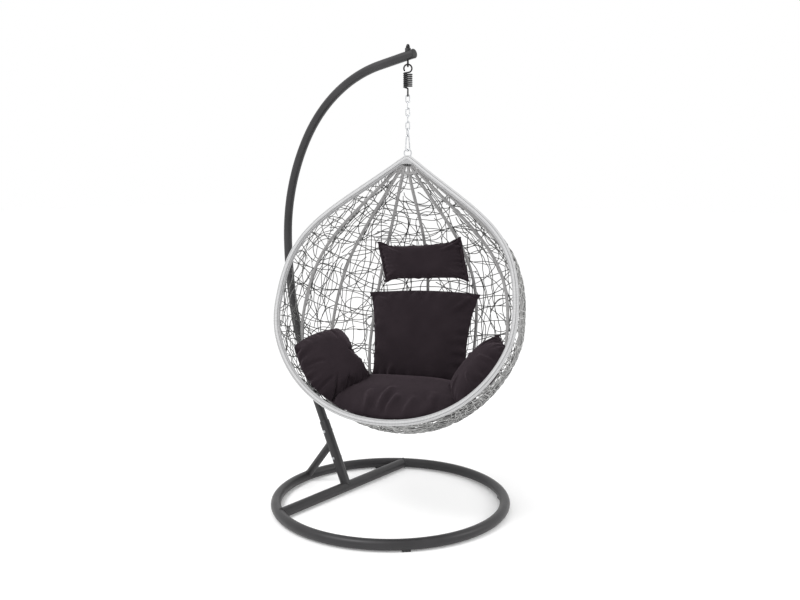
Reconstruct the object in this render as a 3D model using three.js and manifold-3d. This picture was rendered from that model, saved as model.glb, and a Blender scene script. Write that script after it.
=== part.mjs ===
// Hanging egg chair: a woven egg-shaped basket on a spring and chain, hung from one bent steel pole.
// Millimetres. +Z is up, the pole stands at +Y, and the basket is turned to the chair's side.
import * as THREE from "three";
import { mergeVertices } from "three/addons/utils/BufferGeometryUtils.js";
import Module from "manifold-3d";

const wasm = await Module();
wasm.setup();

const { degToRad } = THREE.MathUtils;
const GAP = 0.3; // between two pieces that touch

// Everything is drawn from the ring's middle, then moved so that the whole chair's box is centred.
const FRAME_SHIFT = 20; // along Y

// The stand
const RING_RADIUS = 502.5; // to the middle of the tube
const STAND_TUBE = 22.5; // radius of the ring, cross tube and socket
const POLE_TUBE = 19;
const BRACE_TUBE = 17.5;
const GLIDE_LIFT = 3;
const RING_HEIGHT = STAND_TUBE + GLIDE_LIFT;
const CROSS_AT = 257; // from the ring's middle towards the pole
const SOCKET_LEAN = 25; // degrees back from upright
const SOCKET_LENGTH = 318;
const BRACE_MEETS_SOCKET = 212;
const BOLT_STATIONS = [139, 269]; // along the socket

// The pole: a straight lower piece in the socket, then a bent upper piece with a spigot down into it
const LOWER_POLE = { from: 60, to: 430 }; // along the socket's line
const UPPER_POLE_MOVES = [
  { run: 10 },
  { radius: 1730, turn: 25 },
  { radius: 850, turn: 32 },
  { radius: 645, turn: 47 },
  { run: 176 },
];
const SPIGOT = { radius: 16.4, length: 90 };

// The hanging line, below the pole's tip
const HANG_Y = -93;
const HOOK_HEADING = -52.5; // degrees about Z: the way the spring's top hook is wide
const EYE = { radius: 10, wire: 4, hole: 4.9, z: 1893 };
const SPRING = { radius: 16.25, wire: 3.25, turns: 8 };
const LINK = { width: 20, length: 37.5, wire: 2.5 };
const LINK_TURNS = [0, 90, 0, 90, 0, -66]; // each link's heading, from HOOK_HEADING
const SNAP = { width: 26, length: 70, wire: 3, turn: 34 };

// The basket. Its mouth lies in a plane that leans back, and runs down a chord from apex to foot.
const SEAT_TURN = 107.5; // degrees about Z from +Y to the way the seat faces
const APEX_Z = 1519;
const MOUTH_LEAN = 18.2;
const CHORD = 1096;
const RIM_SHAPE = {
  topAngle: 52.5,
  topReach: 432,
  half: 510,
  widestAt: 672,
  upper: 379,
  lower: 150,
  footAngle: 90,
  footReach: 355,
};
const BACK_SHAPE = {
  topAngle: 30,
  topReach: 180,
  half: 469,
  widestAt: 600,
  upper: 372,
  lower: 414,
  footAngle: 77.6,
  footReach: 444,
};
const SQUARENESS = 2.5; // 2 gives an elliptic section
const SWELL = 0.057; // how far the shell stands out past its mouth, as a share of its reach
const RIM_TUBE = 12;
const RIM_APEX_DROP = 8;
const RIB_TUBE = 6.8;
const RIB_INSET = 9;
const RIB_COUNT = 7;
const PANEL_THICKNESS = 6;
const HANGER_RING = { radius: 15.5, wire: 2.5 };
const SAMPLES = 20; // steps down the shell from apex to foot
const RIB_ENDS = [1.05, SAMPLES - 1.05];
const BAND_LINES = { crown_band: 0.82, foot_band: SAMPLES - 0.82 };

// ---- solids ----

function solid(geometry) {
  const bare = new THREE.BufferGeometry();
  const source = geometry.index ? geometry.toNonIndexed() : geometry;
  bare.setAttribute("position", source.getAttribute("position"));
  const merged = mergeVertices(bare, 1e-3);
  return new wasm.Manifold(
    new wasm.Mesh({
      numProp: 3,
      vertProperties: merged.attributes.position.array,
      triVerts: new Uint32Array(merged.index.array),
    }),
  );
}

function geometryOf(body) {
  const mesh = body.getMesh();
  const geometry = new THREE.BufferGeometry();
  geometry.setAttribute("position", new THREE.BufferAttribute(mesh.vertProperties, 3));
  geometry.setIndex(new THREE.BufferAttribute(mesh.triVerts, 1));
  return geometry;
}

function cut(geometry, ...tools) {
  let body = solid(geometry);
  for (const tool of tools) body = body.subtract(solid(tool));
  return geometryOf(body);
}

function join(...geometries) {
  let body = solid(geometries[0]);
  for (const geometry of geometries.slice(1)) body = body.add(solid(geometry));
  return geometryOf(body);
}

// ---- sweeps ----

function circleShape(radius, sides) {
  const points = [];
  for (let i = 0; i < sides; i++) {
    const angle = (2 * Math.PI * i) / sides;
    points.push(new THREE.Vector2(radius * Math.cos(angle), radius * Math.sin(angle)));
  }
  return new THREE.Shape(points);
}

function tube(curve, radius, steps, sides = 12) {
  return new THREE.ExtrudeGeometry(circleShape(radius, sides), {
    extrudePath: curve,
    steps,
    curveSegments: 1,
    bevelEnabled: false,
  });
}

function smooth(points) {
  return new THREE.CatmullRomCurve3(points, false, "centripetal");
}

function straightTube(from, to, radius, sides = 16) {
  return tube(new THREE.LineCurve3(from, to), radius, 1, sides);
}

// A tube along a closed flat loop. Its section keeps the loop's normal as one of its own axes.
function loopTube(points, normal, radius, sides = 8) {
  const count = points.length;
  const positions = [];
  const index = [];
  for (let i = 0; i < count; i++) {
    const ahead = points[(i + 1) % count].clone().sub(points[(i + count - 1) % count]);
    const across = ahead.normalize().cross(normal).normalize();
    for (let j = 0; j < sides; j++) {
      const angle = (2 * Math.PI * j) / sides;
      const point = points[i].clone();
      point.addScaledVector(across, radius * Math.cos(angle));
      point.addScaledVector(normal, radius * Math.sin(angle));
      positions.push(point.x, point.y, point.z);
      const a = i * sides + j;
      const b = i * sides + ((j + 1) % sides);
      const c = ((i + 1) % count) * sides + j;
      const d = ((i + 1) % count) * sides + ((j + 1) % sides);
      index.push(a, c, b, b, c, d);
    }
  }
  const geometry = new THREE.BufferGeometry();
  geometry.setAttribute("position", new THREE.Float32BufferAttribute(positions, 3));
  geometry.setIndex(index);
  return solid(geometry).volume() < 0 ? flipped(geometry) : geometry;
}

function flipped(geometry) {
  const index = geometry.index.array;
  for (let i = 0; i < index.length; i += 3) {
    [index[i + 1], index[i + 2]] = [index[i + 2], index[i + 1]];
  }
  return geometry;
}

function turned(profile, sides = 24) {
  const points = profile.map(([radius, height]) => new THREE.Vector2(radius, height));
  return new THREE.LatheGeometry(points, sides).rotateX(Math.PI / 2);
}

function disc(radius, height, sides = 24) {
  return new THREE.CylinderGeometry(radius, radius, height, sides).rotateX(Math.PI / 2);
}

// ---- group and materials ----

const chair = new THREE.Group();

const MATERIALS = {
  frame: { color: 0x2b2c30, roughness: 0.5, metalness: 0.6 },
  black_plastic: { color: 0x151517, roughness: 0.55, metalness: 0 },
  black_steel: { color: 0x1b1b1d, roughness: 0.4, metalness: 0.7 },
  zinc: { color: 0xb9bbbd, roughness: 0.35, metalness: 1 },
  wicker: { color: 0xbfbfbc, roughness: 0.6, metalness: 0 },
  cushion: { color: 0x2c2a30, roughness: 0.95, metalness: 0 },
};

function add(name, geometry, material) {
  const mesh = new THREE.Mesh(geometry, new THREE.MeshStandardMaterial(MATERIALS[material]));
  mesh.name = name;
  chair.add(mesh);
  return mesh;
}

// ---- stand ----

const socketWay = new THREE.Vector3(0, Math.sin(degToRad(SOCKET_LEAN)), Math.cos(degToRad(SOCKET_LEAN)));
const socketFoot = new THREE.Vector3(0, CROSS_AT, RING_HEIGHT);

function alongSocket(distance) {
  return socketFoot.clone().addScaledVector(socketWay, distance);
}

function ringTube(radius) {
  return new THREE.TorusGeometry(RING_RADIUS, radius, 12, 60).translate(0, 0, RING_HEIGHT);
}

function crossTube(radius) {
  const reach = Math.sqrt(RING_RADIUS ** 2 - CROSS_AT ** 2);
  return straightTube(
    new THREE.Vector3(-reach, CROSS_AT, RING_HEIGHT),
    new THREE.Vector3(reach, CROSS_AT, RING_HEIGHT),
    radius,
  );
}

function socketTube(radius, from, to) {
  return straightTube(alongSocket(from), alongSocket(to), radius);
}

function crossHole(station, radius) {
  const middle = alongSocket(station);
  const half = new THREE.Vector3(2 * STAND_TUBE, 0, 0);
  return straightTube(middle.clone().sub(half), middle.clone().add(half), radius, 12);
}

function upperPolePoints() {
  const points = [alongSocket(LOWER_POLE.to + GAP)];
  let heading = degToRad(SOCKET_LEAN);
  for (const { run, radius, turn } of UPPER_POLE_MOVES) {
    const total = run ?? radius * degToRad(turn);
    const steps = Math.ceil(total / 60);
    const swing = run ? 0 : degToRad(turn) / steps;
    for (let i = 0; i < steps; i++) {
      const way = heading - swing / 2;
      const next = points[points.length - 1].clone();
      next.y += (total / steps) * Math.sin(way);
      next.z += (total / steps) * Math.cos(way);
      points.push(next);
      heading -= swing;
    }
  }
  return points;
}

function upperPoleTube(radius) {
  const points = upperPolePoints();
  return tube(smooth(points), radius, points.length - 1, 14);
}

function addStand() {
  const ring = ringTube(STAND_TUBE);
  const ringRoom = ringTube(STAND_TUBE + GAP);
  const crossRoom = crossTube(STAND_TUBE + GAP);
  const socketRoom = socketTube(STAND_TUBE + GAP, 0, SOCKET_LENGTH);
  const bolts = BOLT_STATIONS.map((station) => crossHole(station, 4.4));
  add("base_ring", ring, "frame");
  add("cross_tube", cut(crossTube(STAND_TUBE), ringRoom), "frame");

  const bore = socketTube(POLE_TUBE + GAP, LOWER_POLE.from - GAP, SOCKET_LENGTH + 10);
  add("socket", cut(socketTube(STAND_TUBE, 0, SOCKET_LENGTH), crossRoom, bore, ...bolts), "frame");

  const braceFoot = new THREE.Vector3(0, RING_RADIUS, RING_HEIGHT);
  const brace = straightTube(braceFoot, alongSocket(BRACE_MEETS_SOCKET), BRACE_TUBE);
  add("brace", cut(brace, ringRoom, socketRoom), "frame");
  addPole(bolts);
  addSocketBolts();
  addGlides(ringRoom);
}

function addPole(bolts) {
  const { from, to } = LOWER_POLE;
  const bore = socketTube(SPIGOT.radius + GAP, to - SPIGOT.length - GAP, to + 10);
  add("lower_pole", cut(socketTube(POLE_TUBE, from, to), bore, ...bolts), "frame");

  const spigot = socketTube(SPIGOT.radius, to - SPIGOT.length, to + 5);
  add("upper_pole", cut(join(upperPoleTube(POLE_TUBE), spigot), eyeHole()), "frame");
  addEndPlug();
}

function eyeHole() {
  return disc(EYE.hole, 120, 12).translate(0, HANG_Y, 1930);
}

function addEndPlug() {
  const points = upperPolePoints();
  const tip = points[points.length - 1];
  const out = tip.clone().sub(points[points.length - 2]).normalize();
  const plug = turned([[0, GAP], [19.6, GAP], [19.6, 3.5], [12, 8], [0, 9]], 8);
  plug.applyQuaternion(new THREE.Quaternion().setFromUnitVectors(new THREE.Vector3(0, 0, 1), out));
  plug.translate(tip.x, tip.y, tip.z);
  add("end_plug", plug, "black_plastic");
}

function addSocketBolts() {
  const face = STAND_TUBE + GAP;
  BOLT_STATIONS.forEach((station, i) => {
    const at = alongSocket(station);
    const head = turned([[0, -face - 5], [6.5, -face - 5], [6.5, -face], [4, -face], [4, face + 9], [0, face + 9]], 12);
    const nut = new THREE.CylinderGeometry(7, 7, 6.5, 6).rotateX(Math.PI / 2).translate(0, 0, face + 3.25);
    const drilled = cut(nut, disc(4 + GAP, 60, 12));
    for (const [name, geometry] of [["socket_bolt", head], ["socket_nut", drilled]]) {
      geometry.rotateY(Math.PI / 2).translate(at.x, at.y, at.z);
      add(`${name}_${i + 1}`, geometry, "zinc");
    }
  });
}

function addGlides(ringRoom) {
  for (let i = 0; i < 4; i++) {
    const block = new THREE.BoxGeometry(30, 34, 9).translate(RING_RADIUS, 0, 4.5);
    block.rotateZ(degToRad(45 + 90 * i));
    add(`floor_glide_${i + 1}`, cut(block, ringRoom), "black_plastic");
  }
}

// ---- hanging line ----

function heading(turn) {
  return new THREE.Vector3(Math.cos(degToRad(HOOK_HEADING + turn)), Math.sin(degToRad(HOOK_HEADING + turn)), 0);
}

function onLine(side, way, z) {
  return new THREE.Vector3(0, HANG_Y, z).addScaledVector(way, side);
}

// A chain link's loop: two half circles joined by straight sides.
function stadium(width, length, wire, way, middleZ) {
  const radius = width / 2 - wire;
  const straight = length / 2 - width / 2;
  const points = [];
  for (let i = 0; i < 16; i++) {
    const angle = (Math.PI * (i % 8)) / 7 + (i < 8 ? 0 : Math.PI);
    const lift = i < 8 ? straight : -straight;
    points.push(onLine(radius * Math.cos(angle), way, middleZ + lift + radius * Math.sin(angle)));
  }
  return points;
}

function normalOf(way) {
  return new THREE.Vector3(-way.y, way.x, 0);
}

function addEyeBolt() {
  const way = heading(90);
  const loop = [];
  for (let i = 0; i < 20; i++) {
    const angle = (2 * Math.PI * i) / 20;
    loop.push(onLine(EYE.radius * Math.cos(angle), way, EYE.z + EYE.radius * Math.sin(angle)));
  }
  const shankFoot = EYE.z + EYE.radius;
  const shank = disc(EYE.wire, 1968 - shankFoot, 12).translate(0, HANG_Y, (1968 + shankFoot) / 2);
  add("eye_bolt", join(loopTube(loop, normalOf(way), EYE.wire), shank), "black_steel");

  const bush = disc(12, 14, 20).translate(0, HANG_Y, 1948);
  add("top_bush", cut(bush, upperPoleTube(POLE_TUBE + GAP), eyeHole()), "black_plastic");

  const nutFoot = 1955 + GAP;
  const dome = turned([[0, 0], [8.5, 0], [8.5, 7], [7, 12], [4, 15], [0, 16]], 18).translate(0, HANG_Y, nutFoot);
  const socketForShank = disc(EYE.wire + GAP, 28, 12).translate(0, HANG_Y, nutFoot);
  add("cap_nut", cut(dome, socketForShank), "black_steel");
}

const SPRING_TOP_HOOK_Z = EYE.z - EYE.radius + EYE.wire + SPRING.wire + GAP - SPRING.radius;
const COIL_TOP = SPRING_TOP_HOOK_Z - SPRING.radius;
const COIL_PITCH = 2 * SPRING.wire + 1.2;
const COIL_BOTTOM = COIL_TOP - SPRING.turns * COIL_PITCH;
const SPRING_LOW_HOOK_Z = COIL_BOTTOM - SPRING.radius;

function hookPoints(middleZ, way, from, to, steps) {
  const points = [];
  for (let i = 0; i <= steps; i++) {
    const angle = degToRad(from + ((to - from) * i) / steps);
    points.push(onLine(SPRING.radius * Math.cos(angle), way, middleZ + SPRING.radius * Math.sin(angle)));
  }
  return points;
}

function addSpring() {
  const points = hookPoints(SPRING_TOP_HOOK_Z, heading(0), 215, -60, 16);
  const steps = SPRING.turns * 12;
  for (let i = 4; i <= steps - 4; i++) {
    const angle = degToRad((-360 * i) / 12);
    const way = heading(0).applyAxisAngle(new THREE.Vector3(0, 0, 1), angle);
    points.push(onLine(SPRING.radius, way, COIL_TOP - (i * COIL_PITCH) / 12));
  }
  points.push(...hookPoints(SPRING_LOW_HOOK_Z, heading(90), 60, -215, 16));
  const curve = smooth(points);
  add("suspension_spring", tube(curve, SPRING.wire, 110, 6), "black_steel");
}

function addChain() {
  const link = LINK;
  let restZ = SPRING_LOW_HOOK_Z - SPRING.radius + SPRING.wire + GAP; // top of the wire it hangs on
  LINK_TURNS.forEach((turn, i) => {
    const middle = restZ + 2 * link.wire - link.length / 2;
    const points = stadium(link.width, link.length, link.wire, heading(turn), middle);
    add(`chain_link_${i + 1}`, loopTube(points, normalOf(heading(turn)), link.wire, 6), "zinc");
    restZ = middle - link.length / 2 + 2 * link.wire + GAP;
  });
  return restZ;
}

// A pear-shaped snap hook, cut open on one side for its gate.
function addSnapHook(restZ) {
  const way = heading(SNAP.turn);
  const top = restZ + 2 * SNAP.wire;
  const foot = top - SNAP.length;
  const small = 6;
  const large = SNAP.width / 2 - SNAP.wire;
  const points = [];
  for (let i = 0; i <= 8; i++) {
    const angle = Math.PI * (i / 8);
    points.push(onLine(small * Math.cos(angle), way, top - SNAP.wire - small + small * Math.sin(angle)));
  }
  for (let i = 0; i <= 12; i++) {
    const angle = Math.PI * (1 + i / 12);
    points.push(onLine(large * Math.cos(angle), way, foot + SNAP.wire + large + large * Math.sin(angle)));
  }
  const loop = loopTube(points, normalOf(way), SNAP.wire, 8);
  const gateFrom = top - SNAP.wire - small - 6;
  const gateTo = foot + SNAP.wire + large - 2;
  const side = (z) => {
    const share = (gateFrom + 6 - z) / (gateFrom + 6 - (gateTo + 2));
    return small + (large - small) * share;
  };
  const notch = straightTube(
    onLine(side(gateFrom), way, gateFrom),
    onLine(side(gateTo), way, gateTo),
    SNAP.wire + 1,
    8,
  );
  add("snap_hook", cut(loop, notch), "zinc");
  const inset = 0.5;
  const gate = straightTube(
    onLine(side(gateFrom - inset), way, gateFrom - inset),
    onLine(side(gateTo + inset), way, gateTo + inset),
    SNAP.wire - 0.3,
    8,
  );
  add("snap_gate", gate, "zinc");
  return foot + 2 * SNAP.wire + GAP;
}

// ---- basket, in its own frame: Y is the way the seat faces, Z up, X across ----

function halfOutline(shape) {
  const top = degToRad(shape.topAngle);
  const foot = degToRad(shape.footAngle);
  const path = new THREE.Path();
  path.moveTo(0, 0);
  path.bezierCurveTo(
    shape.topReach * Math.sin(top),
    shape.topReach * Math.cos(top),
    shape.half,
    shape.widestAt - shape.upper,
    shape.half,
    shape.widestAt,
  );
  path.bezierCurveTo(
    shape.half,
    shape.widestAt + shape.lower,
    shape.footReach * Math.sin(foot),
    CHORD + shape.footReach * Math.cos(foot),
    0,
    CHORD,
  );
  return path.getSpacedPoints(SAMPLES);
}

const rimOutline = halfOutline(RIM_SHAPE);
const backOutline = halfOutline(BACK_SHAPE);
const chordWay = new THREE.Vector3(0, Math.sin(degToRad(MOUTH_LEAN)), -Math.cos(degToRad(MOUTH_LEAN)));
const backWay = new THREE.Vector3(0, -Math.cos(degToRad(MOUTH_LEAN)), -Math.sin(degToRad(MOUTH_LEAN)));

function basketPoint(across, back, down) {
  const point = new THREE.Vector3(across, 0, APEX_Z);
  return point.addScaledVector(backWay, back).addScaledVector(chordWay, down);
}

function outlineAt(outline, sample) {
  const low = Math.min(Math.floor(sample), SAMPLES - 1);
  return outline[low].clone().lerp(outline[low + 1], sample - low);
}

// A point of the shell. angle goes round from one side of the mouth, over the back, to the other side.
function shellPoint(sample, angle) {
  const rim = outlineAt(rimOutline, sample);
  const back = outlineAt(backOutline, sample);
  const power = 2 / SQUARENESS;
  const cos = Math.cos(angle);
  const sin = Math.max(0, Math.sin(angle));
  const swell = 1 + SWELL * Math.abs(Math.sin(2 * angle));
  const across = rim.x * Math.sign(cos) * Math.abs(cos) ** power * swell;
  const down = rim.y * cos * cos + back.y * sin * sin;
  return basketPoint(across, back.x * sin ** power, down);
}

// The way out of the shell at a point, square to it.
function shellNormal(sample, angle) {
  const step = 0.02;
  const low = Math.max(0, sample - 0.5);
  const high = Math.min(SAMPLES, sample + 0.5);
  const down = shellPoint(high, angle).sub(shellPoint(low, angle));
  const from = THREE.MathUtils.clamp(angle - step, 0, Math.PI);
  const to = THREE.MathUtils.clamp(angle + step, 0, Math.PI);
  const round = shellPoint(sample, to).sub(shellPoint(sample, from));
  return round.cross(down).normalize();
}

function offShell(sample, angle, distance) {
  return shellPoint(sample, angle).addScaledVector(shellNormal(sample, angle), distance);
}

// A closed solid between two surfaces that are given as grids of points.
function between(outer, inner) {
  const rows = outer.length;
  const columns = outer[0].length;
  const positions = [];
  const index = [];
  for (const grid of [outer, inner]) {
    for (const row of grid) for (const point of row) positions.push(point.x, point.y, point.z);
  }
  const at = (side, row, column) => (side * rows + row) * columns + column;
  const quad = (a, b, c, d) => index.push(a, b, c, a, c, d);
  for (let r = 0; r + 1 < rows; r++) {
    for (let c = 0; c + 1 < columns; c++) {
      quad(at(0, r, c), at(0, r + 1, c), at(0, r + 1, c + 1), at(0, r, c + 1));
      quad(at(1, r, c), at(1, r, c + 1), at(1, r + 1, c + 1), at(1, r + 1, c));
    }
    quad(at(0, r, 0), at(1, r, 0), at(1, r + 1, 0), at(0, r + 1, 0));
    quad(at(0, r + 1, columns - 1), at(1, r + 1, columns - 1), at(1, r, columns - 1), at(0, r, columns - 1));
  }
  for (let c = 0; c + 1 < columns; c++) {
    quad(at(0, 0, c), at(0, 0, c + 1), at(1, 0, c + 1), at(1, 0, c));
    quad(at(0, rows - 1, c + 1), at(0, rows - 1, c), at(1, rows - 1, c), at(1, rows - 1, c + 1));
  }
  const geometry = new THREE.BufferGeometry();
  geometry.setAttribute("position", new THREE.Float32BufferAttribute(positions, 3));
  geometry.setIndex(index);
  return solid(geometry).volume() < 0 ? flipped(geometry) : geometry;
}

function rimTube(radius, sides) {
  const half = rimOutline.slice(2, SAMPLES);
  const anchors = [
    basketPoint(0, 0, RIM_APEX_DROP),
    ...half.map((point) => basketPoint(point.x, 0, point.y)),
    basketPoint(0, 0, CHORD),
    ...half.reverse().map((point) => basketPoint(-point.x, 0, point.y)),
  ];
  const points = new THREE.CatmullRomCurve3(anchors, true, "centripetal").getSpacedPoints(64);
  points.pop();
  return loopTube(points, backWay, radius, sides);
}

function ribAngle(i) {
  return (Math.PI * i) / (RIB_COUNT + 1);
}

function spread(from, to, steps) {
  return Array.from({ length: steps + 1 }, (_, i) => from + ((to - from) * i) / steps);
}

function addRibs(rimRoom) {
  const lines = spread(...RIB_ENDS, SAMPLES);
  for (let i = 1; i <= RIB_COUNT; i++) {
    const points = lines.map((sample) => offShell(sample, ribAngle(i), -RIB_INSET));
    basketPart(`rib_${i}`, tube(smooth(points), RIB_TUBE, SAMPLES, 8), "wicker");
  }
  for (const [name, sample] of Object.entries(BAND_LINES)) {
    const points = spread(0, Math.PI, 16).map((angle) => offShell(sample, angle, -RIB_INSET));
    basketPart(name, cut(tube(smooth(points), RIB_TUBE, 12, 8), rimRoom), "wicker");
  }
}

function addPanels(rimRoom) {
  const lines = spread(...RIB_ENDS, SAMPLES);
  for (let i = 0; i <= RIB_COUNT; i++) {
    const outer = [];
    const inner = [];
    for (const sample of lines) {
      const seam = GAP / outlineAt(rimOutline, sample).x;
      const angles = spread(ribAngle(i) + seam, ribAngle(i + 1) - seam, 3);
      outer.push(angles.map((angle) => offShell(sample, angle, PANEL_THICKNESS)));
      inner.push(angles.map((angle) => offShell(sample, angle, 0)));
    }
    basketPart(`woven_panel_${i + 1}`, cut(between(outer, inner), rimRoom), "wicker");
  }
}

function basketPart(name, geometry, material) {
  geometry.rotateZ(degToRad(SEAT_TURN)).translate(0, HANG_Y, 0);
  return add(name, geometry, material);
}

// ---- cushions ----

// A pillow-shaped slab: a rounded outline with rounded edges, lying flat with Z as its thickness.
function slab(width, height, thickness, corner) {
  const edge = thickness / 2 - 4;
  const w = width / 2 - edge;
  const h = height / 2 - edge;
  const shape = new THREE.Shape();
  shape.moveTo(-w + corner, -h);
  shape.lineTo(w - corner, -h);
  shape.quadraticCurveTo(w, -h, w, -h + corner);
  shape.lineTo(w, h - corner);
  shape.quadraticCurveTo(w, h, w - corner, h);
  shape.lineTo(-w + corner, h);
  shape.quadraticCurveTo(-w, h, -w, h - corner);
  shape.lineTo(-w, -h + corner);
  shape.quadraticCurveTo(-w, -h, -w + corner, -h);
  return new THREE.ExtrudeGeometry(shape, {
    depth: 8,
    curveSegments: 3,
    bevelThickness: edge,
    bevelSize: edge,
    bevelSegments: 3,
  }).translate(0, 0, -4);
}

// Stands a slab in the basket: its thickness points along facing, and its height as near up as that allows.
function placed(geometry, middle, facing, roll = 0) {
  const out = new THREE.Vector3(...facing).normalize();
  const across = new THREE.Vector3(0, 0, 1).cross(out).normalize();
  const up = out.clone().cross(across);
  const basis = new THREE.Matrix4().makeBasis(across, up, out);
  return geometry.rotateZ(degToRad(roll)).applyMatrix4(basis).translate(...middle);
}

const CUSHIONS = [
  { name: "back_cushion", size: [470, 390, 120], corner: 60, middle: [-30, -128, 770], facing: [0.03, 0.94, 0.34] },
  { name: "seat_cushion", size: [520, 500, 150], corner: 90, middle: [0, 122, 505], facing: [0, 0.2, 1] },
  { name: "head_pillow", size: [400, 190, 110], corner: 30, middle: [-28, -148, 1078], facing: [0, 0.97, 0.2], roll: 3 },
  { name: "right_arm_cushion", size: [330, 270, 90], corner: 50, middle: [318, 110, 640], facing: [-0.72, 0.2, 0.66] },
  { name: "left_arm_cushion", size: [330, 270, 90], corner: 50, middle: [-350, 120, 655], facing: [0.72, 0.2, 0.66] },
];

// The room inside the ribs, behind the mouth.
function insideRoom() {
  const inset = -(RIB_INSET + RIB_TUBE + 8);
  const outer = [];
  const inner = [];
  for (let sample = 1; sample < SAMPLES; sample++) {
    const skin = [];
    const mouth = [];
    for (let step = 0; step <= 16; step++) {
      const point = offShell(sample, (Math.PI * step) / 16, inset);
      skin.push(point);
      const first = offShell(sample, 0, inset);
      const last = offShell(sample, Math.PI, inset);
      mouth.push(first.lerp(last, step / 16).addScaledVector(backWay, -15));
    }
    outer.push(skin);
    inner.push(mouth);
  }
  return between(outer, inner);
}

function addCushions() {
  const room = solid(insideRoom());
  let taken = null;
  for (const { name, size, corner, middle, facing, roll } of CUSHIONS) {
    let body = solid(placed(slab(...size, corner), middle, facing, roll)).intersect(room);
    if (taken) body = body.subtract(taken);
    const grown = solid(placed(slab(...size.map((length) => length + 2), corner), middle, facing, roll));
    taken = taken ? taken.add(grown) : grown;
    basketPart(name, geometryOf(body), "cushion");
  }
}

function addHangerRing(rimRoom, restZ) {
  const { radius, wire } = HANGER_RING;
  const middleZ = restZ + wire - radius;
  const points = [];
  for (let i = 0; i < 24; i++) {
    const angle = (2 * Math.PI * i) / 24;
    points.push(new THREE.Vector3(radius * Math.cos(angle), 0, middleZ + radius * Math.sin(angle)));
  }
  const ring = loopTube(points, new THREE.Vector3(0, 1, 0), wire, 8);
  basketPart("hanger_ring", cut(ring, rimRoom), "zinc");
}

function addBasket(restZ) {
  const rimRoom = rimTube(RIM_TUBE + GAP, 10);
  addHangerRing(rimRoom, restZ);
  basketPart("rim_hoop", rimTube(RIM_TUBE, 10), "wicker");
  addRibs(rimRoom);
  addPanels(rimRoom);
  addCushions();
}

addStand();
addEyeBolt();
addSpring();
addBasket(addSnapHook(addChain()));

for (const mesh of chair.children) mesh.geometry.translate(0, FRAME_SHIFT, 0);

export default chair;
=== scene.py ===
import math
import random

import bmesh
import bpy
import numpy as np
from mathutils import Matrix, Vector
from mathutils.bvhtree import BVHTree


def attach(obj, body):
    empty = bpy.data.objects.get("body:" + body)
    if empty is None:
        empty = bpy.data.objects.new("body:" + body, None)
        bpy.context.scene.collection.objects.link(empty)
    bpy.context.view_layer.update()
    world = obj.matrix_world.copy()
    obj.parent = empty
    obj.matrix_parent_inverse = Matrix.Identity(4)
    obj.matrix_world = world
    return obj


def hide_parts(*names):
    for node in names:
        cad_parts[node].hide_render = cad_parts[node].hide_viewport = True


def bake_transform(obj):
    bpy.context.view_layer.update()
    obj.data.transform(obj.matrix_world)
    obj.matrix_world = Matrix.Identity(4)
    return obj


# Hanging egg chair: the looks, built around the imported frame. Metres, +Z up, the pole stands at +Y.

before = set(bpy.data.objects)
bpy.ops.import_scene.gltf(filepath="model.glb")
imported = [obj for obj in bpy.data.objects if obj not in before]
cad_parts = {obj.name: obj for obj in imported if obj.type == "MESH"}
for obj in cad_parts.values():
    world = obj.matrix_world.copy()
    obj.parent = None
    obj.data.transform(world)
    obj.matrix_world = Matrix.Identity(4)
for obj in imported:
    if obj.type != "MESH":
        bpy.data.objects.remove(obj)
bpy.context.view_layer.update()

# ---- sizes, as in the frame ----

SHIFT = 0.020  # the ring's middle, along Y
RING_RADIUS = 0.5025
STAND_TUBE = 0.0225
POLE_TUBE = 0.019
BRACE_TUBE = 0.0175
RING_HEIGHT = 0.0255
CROSS_AT = 0.257
SOCKET_LEAN = math.radians(25)
SOCKET_LENGTH = 0.318
BRACE_MEETS_SOCKET = 0.212
BOLT_STATIONS = (0.139, 0.269)
POLE_SPLIT = 0.430
POLE_BENDS = ((None, 0.010), (1.730, 25), (0.850, 32), (0.645, 47), (None, 0.176))

HANG_Y = -0.073
HOOK_HEADING = math.radians(-52.5)
EYE_Z, EYE_RADIUS, EYE_WIRE = 1.893, 0.010, 0.004
SPRING_RADIUS, SPRING_WIRE, SPRING_TURNS = 0.01625, 0.00325, 8
COIL_PITCH = 0.0077
COIL_TOP, COIL_BOTTOM = 1.85805, 1.79645
LINK_WIDTH, LINK_LENGTH, LINK_WIRE = 0.020, 0.0375, 0.0025
LINK_TURNS = (0, 90, 0, 90, 0, -66)
LINK_TOP, LINK_STEP = 1.75375, 0.0272  # the first link's middle, and the fall to the next
SNAP_TURN, SNAP_TOP, SNAP_LENGTH, SNAP_WIRE = 34, 1.6103, 0.070, 0.003
SNAP_SMALL, SNAP_LARGE = 0.006, 0.010
RING_Z, RING_LOOP, RING_WIRE = 1.5336, 0.0155, 0.0025

SEAT_TURN = math.radians(107.5)
APEX_Z = 1.519
MOUTH_LEAN = math.radians(18.2)
CHORD = 1.096
# Half an outline: degrees off the chord at apex and foot, greatest half width and where it is, and how
# far the curve keeps each end's direction.
RIM_SHAPE = dict(top=52.5, top_reach=0.432, half=0.510, widest=0.672,
                 upper=0.379, lower=0.150, foot=90, foot_reach=0.355)
BACK_SHAPE = dict(top=30, top_reach=0.180, half=0.469, widest=0.600,
                  upper=0.372, lower=0.414, foot=77.6, foot_reach=0.444)
SQUARENESS = 2.5
SWELL = 0.057  # how far the shell stands out past its mouth, as a share of its reach
SAMPLES = 20  # steps down the shell from apex to foot
RIM_TUBE = 0.012
RIM_STEP, RIM_TURN = 0.0026, 0.0078
RIM_GROOVES = 5  # lengthwise, between the strands wound along the hoop
RIM_APEX_DROP = 0.006
RIB_TUBE = 0.0068
RIB_INSET = 0.009
RIB_COUNT = 7


# ---- small geometry ----

def unit(vector):
    vector = np.asarray(vector, float)
    return vector / np.linalg.norm(vector)


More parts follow.
